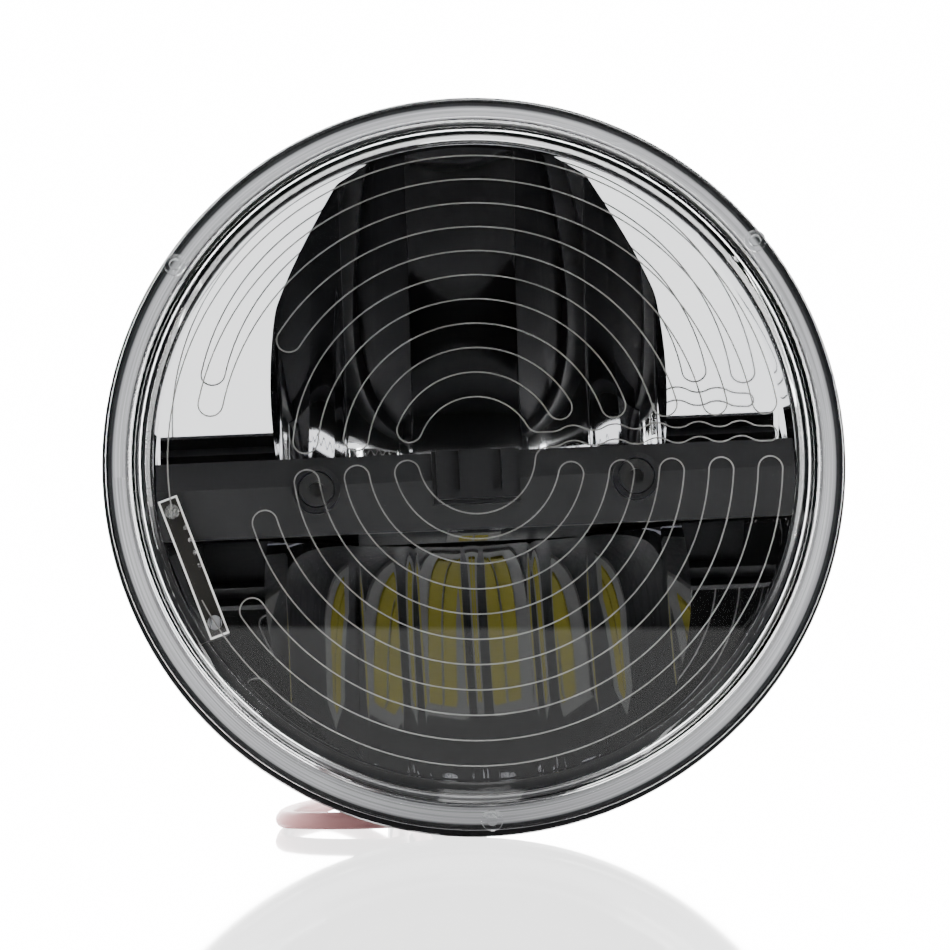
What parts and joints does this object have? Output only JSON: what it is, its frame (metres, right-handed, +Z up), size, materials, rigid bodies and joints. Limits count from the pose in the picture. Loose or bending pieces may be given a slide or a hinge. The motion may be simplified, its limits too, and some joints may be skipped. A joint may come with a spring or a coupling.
{
  "type": "round LED headlamp",
  "caption": "Round sealed LED headlamp with a domed clear lens that carries a fine heater wire, fluted mirror reflectors above and below a dark bar, a finned black housing and a lead.",
  "frame": {"origin": "on the lamp axis at the rear seat face of the flange", "axes": "+X to the right seen from the front, +Y along the lamp axis to the rear, +Z up; the lens faces -Y"},
  "size_m": [0.178, 0.207, 0.178],
  "materials": {
    "clear_lens": "clear polished polycarbonate",
    "seal_rubber": "pale grey silicone, matte",
    "heater_metal": "bare fine wire",
    "heater_laminate": "dark coated circuit laminate",
    "zinc_steel": "zinc plated",
    "solder": "solder",
    "black_casting": "black powder coat on die cast aluminium",
    "mirror_coat": "metallised, polished",
    "black_moulding": "black moulding, half gloss",
    "dark_screw": "black oxide",
    "black_anodised": "black anodised",
    "thermal_sheet": "soft filled sheet",
    "black_laminate": "black solder mask",
    "led_ceramic": "white ceramic",
    "led_phosphor": "yellow phosphor",
    "green_laminate": "green solder mask",
    "ferrite": "ferrite",
    "can_aluminium": "drawn can",
    "black_chip": "moulded",
    "vent_plastic": "moulded, fine grain",
    "grommet_rubber": "matte",
    "red_sheath": "dull red, smooth extruded",
    "plug_plastic": "moulded",
    "blade_brass": "tinned edge, stamped"
  },
  "bodies": {
    "root": {"lens": "clear_lens", "lens_gasket": "seal_rubber", "lens_heater_wire": "heater_metal", "heater_board": "heater_laminate", "heater_board_screw": "zinc_steel", "heater_contact": "solder", "heater_pins": "solder", "housing": "black_casting", "upper_reflector": "mirror_coat", "lower_reflector": "mirror_coat", "bezel": "black_moulding", "bar_screws": "dark_screw", "centre_clip": "black_moulding", "led_shelf": "black_anodised", "shelf_screws": "zinc_steel", "upper_thermal_pad": "thermal_sheet", "lower_thermal_pad": "thermal_sheet", "upper_led_board": "black_laminate", "lower_led_board": "black_laminate", "led_board_screws": "zinc_steel", "upper_led_base": "led_ceramic", "upper_led_chip": "led_phosphor", "lower_led_base": "led_ceramic", "lower_led_chips": "led_phosphor", "driver_board": "green_laminate", "driver_board_screws": "zinc_steel", "driver_coil": "ferrite", "driver_capacitors": "can_aluminium", "driver_chip": "black_chip", "breather_vent": "vent_plastic", "cable_grommet": "grommet_rubber", "pigtail_cable": "red_sheath", "plug_body": "plug_plastic", "plug_blades": "blade_brass"}
  },
  "joints": []
}
